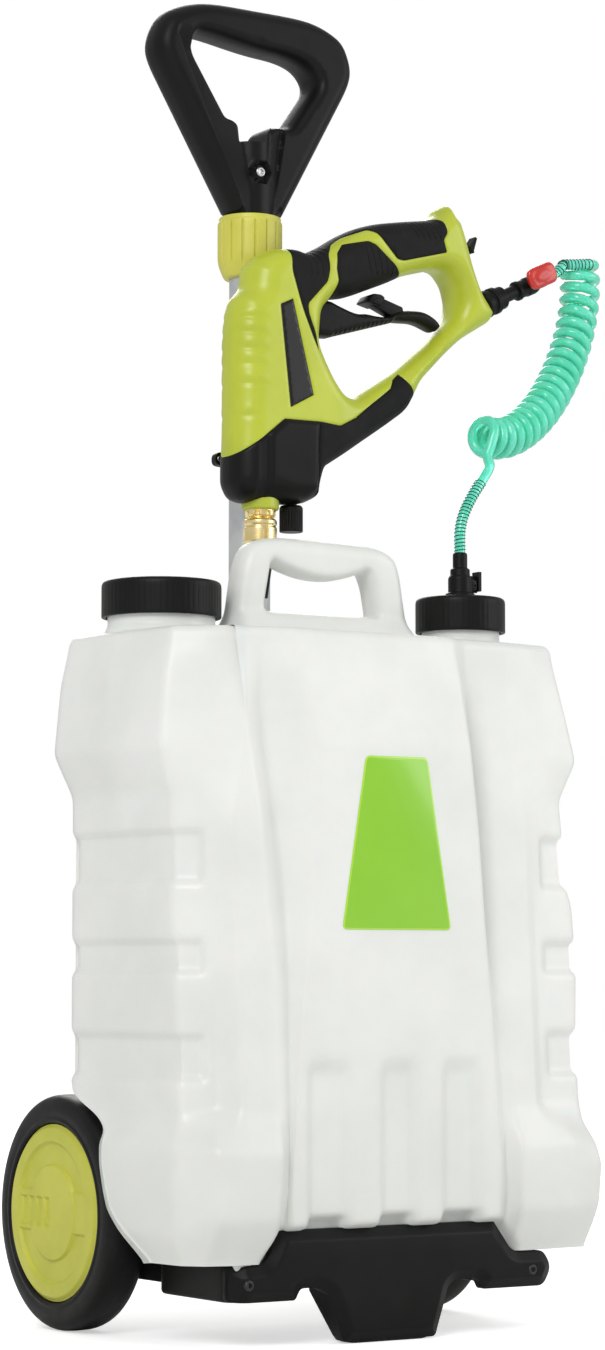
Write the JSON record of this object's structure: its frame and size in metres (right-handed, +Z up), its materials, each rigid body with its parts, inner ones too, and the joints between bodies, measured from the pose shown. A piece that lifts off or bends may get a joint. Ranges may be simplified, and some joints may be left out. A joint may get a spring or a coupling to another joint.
{
  "type": "wheeled sprayer cart",
  "caption": "Upright blow-moulded tank on a two-wheeled base with a telescopic pole, a triangular handle grip and a battery spray gun fed through a curly hose.",
  "frame": {"origin": "on the ground under the middle of the cart, measured without the free hose", "axes": "+Z up, +X to the hose side of the cart, -Y towards its front with the label, wheels at the back"},
  "size_m": [0.4539, 0.273, 0.942],
  "materials": {
    "tank_plastic": "satin, lightly textured",
    "label_film": "gloss film",
    "black_plastic": "fine texture",
    "soft_grip": "matte",
    "lime_plastic": "satin",
    "seal_rubber": "matte",
    "tyre_rubber": "matte",
    "bearing_plastic": "satin",
    "pole_metal": "satin anodised",
    "steel": "zinc plated",
    "brass": "turned",
    "motor_can": "plain",
    "cell_wrap": "shrink film",
    "red_plastic": "gloss",
    "hose_plastic": "clear tinted"
  },
  "bodies": {
    "cart": {"tank": "tank_plastic", "tank_label": "label_film", "filler_strainer": "black_plastic", "outlet_gasket": "seal_rubber", "outlet_fitting": "black_plastic", "outlet_coupling": "black_plastic", "suction_tube": "bearing_plastic", "suction_strainer": "black_plastic", "base_frame": "black_plastic", "base_screws": "steel", "axle": "steel", "axle_clips": "steel", "pole_socket": "black_plastic", "pole_lower_tube": "pole_metal", "gun_holder": "black_plastic", "holder_bolt": "steel", "gun_shell_left": "lime_plastic", "gun_shell_right": "lime_plastic", "grip_overmould": "soft_grip", "grip_panel": "soft_grip", "nose_housing": "black_plastic", "strut_bumper": "soft_grip", "shell_screws": "steel", "trigger_pin": "steel", "switch": "black_plastic", "pump_motor": "motor_can", "pump_body": "black_plastic", "battery_cells": "cell_wrap", "lance_connector": "brass", "lance_sleeve": "black_plastic", "lance_tube": "pole_metal", "gun_inlet": "black_plastic", "hose_coupling": "black_plastic", "hose_lead": "hose_plastic", "hose_coil": "hose_plastic", "hose_tail": "hose_plastic"},
    "handle": {"pole_upper_tube": "pole_metal", "handle_grip": "black_plastic", "grip_screw": "steel"},
    "collar": {"lock_collar": "lime_plastic"},
    "wheel_left": {"tyre_left": "tyre_rubber", "hub_left": "black_plastic", "hub_cap_left": "lime_plastic", "bush_left": "bearing_plastic"},
    "wheel_right": {"tyre_right": "tyre_rubber", "hub_right": "black_plastic", "hub_cap_right": "lime_plastic", "bush_right": "bearing_plastic"},
    "filler_seal": {"filler_gasket": "seal_rubber"},
    "filler_lid": {"filler_cap": "black_plastic"},
    "outlet_lid": {"outlet_cap": "black_plastic"},
    "latch": {"coupling_latch": "black_plastic"},
    "trigger_lever": {"trigger": "black_plastic"},
    "lock_lever": {"trigger_lock": "black_plastic"},
    "knob": {"pressure_knob": "black_plastic"},
    "rotor": {"motor_shaft": "steel"},
    "nut": {"lance_nut": "brass"},
    "nozzle": {"nozzle_cap": "black_plastic"},
    "flap": {"port_flap": "soft_grip"},
    "clip": {"release_clip": "red_plastic"}
  },
  "joints": [
    {"name": "handle_slide", "type": "slide", "parent": "cart", "child": "handle", "axis": [0, 0, 1], "range_m": [0, 0.3]},
    {"name": "collar_turn", "type": "hinge", "parent": "cart", "child": "collar", "pos_m": [-0.0205, 0.0565, 0.766], "axis": [0, 0, 1], "range_deg": [0, 90]},
    {"name": "wheel_left_spin", "type": "hinge", "parent": "cart", "child": "wheel_left", "pos_m": [-0.165, 0.0565, 0.08], "axis": [1, 0, 0], "continuous": true},
    {"name": "wheel_right_spin", "type": "hinge", "parent": "cart", "child": "wheel_right", "pos_m": [0.124, 0.0565, 0.08], "axis": [1, 0, 0], "continuous": true},
    {"name": "filler_lift", "type": "slide", "parent": "cart", "child": "filler_seal", "axis": [0, 0, 1], "range_m": [0, 0.08]},
    {"name": "filler_turn", "type": "hinge", "parent": "filler_seal", "child": "filler_lid", "pos_m": [-0.1385, -0.0185, 0.5], "axis": [0, 0, 1], "continuous": true},
    {"name": "outlet_turn", "type": "hinge", "parent": "cart", "child": "outlet_lid", "pos_m": [0.0935, -0.0445, 0.5], "axis": [0, 0, 1], "continuous": true},
    {"name": "latch_press", "type": "hinge", "parent": "cart", "child": "latch", "pos_m": [0.1045, -0.0445, 0.519], "axis": [0, -1, 0], "range_deg": [0, 8], "stiffness_Nm_per_rad": 0.05},
    {"name": "trigger_pull", "type": "hinge", "parent": "cart", "child": "trigger_lever", "pos_m": [0.0045, 0.0105, 0.7125], "axis": [0, -1, 0], "range_deg": [0, 7], "stiffness_Nm_per_rad": 1.5, "springref_deg": -5.73},
    {"name": "lock_press", "type": "hinge", "parent": "trigger_lever", "child": "lock_lever", "pos_m": [0.0755, 0.0105, 0.721], "axis": [0, -1, 0], "range_deg": [0, 10], "stiffness_Nm_per_rad": 0.1, "springref_deg": -5.73},
    {"name": "knob_turn", "type": "hinge", "parent": "cart", "child": "knob", "pos_m": [-0.0145, 0.0105, 0.5645], "axis": [0, 0, 1], "range_deg": [-135, 135]},
    {"name": "motor_spin", "type": "hinge", "parent": "cart", "child": "rotor", "pos_m": [-0.0405, 0.0105, 0.6585], "axis": [0, 0, 1], "continuous": true},
    {"name": "nut_turn", "type": "hinge", "parent": "cart", "child": "nut", "pos_m": [-0.0405, 0.0105, 0.5545], "axis": [0, 0, 1], "continuous": true},
    {"name": "nozzle_turn", "type": "hinge", "parent": "cart", "child": "nozzle", "pos_m": [-0.0405, 0.0105, 0.1835], "axis": [0, 0, 1], "continuous": true},
    {"name": "flap_swing", "type": "hinge", "parent": "cart", "child": "flap", "pos_m": [0.1428, 0.0105, 0.7747], "axis": [0, 1, 0], "range_deg": [0, 60]},
    {"name": "clip_press", "type": "slide", "parent": "cart", "child": "clip", "axis": [0, 1, 0], "range_m": [0, 0.0012], "stiffness_N_per_m": 2000}
  ]
}
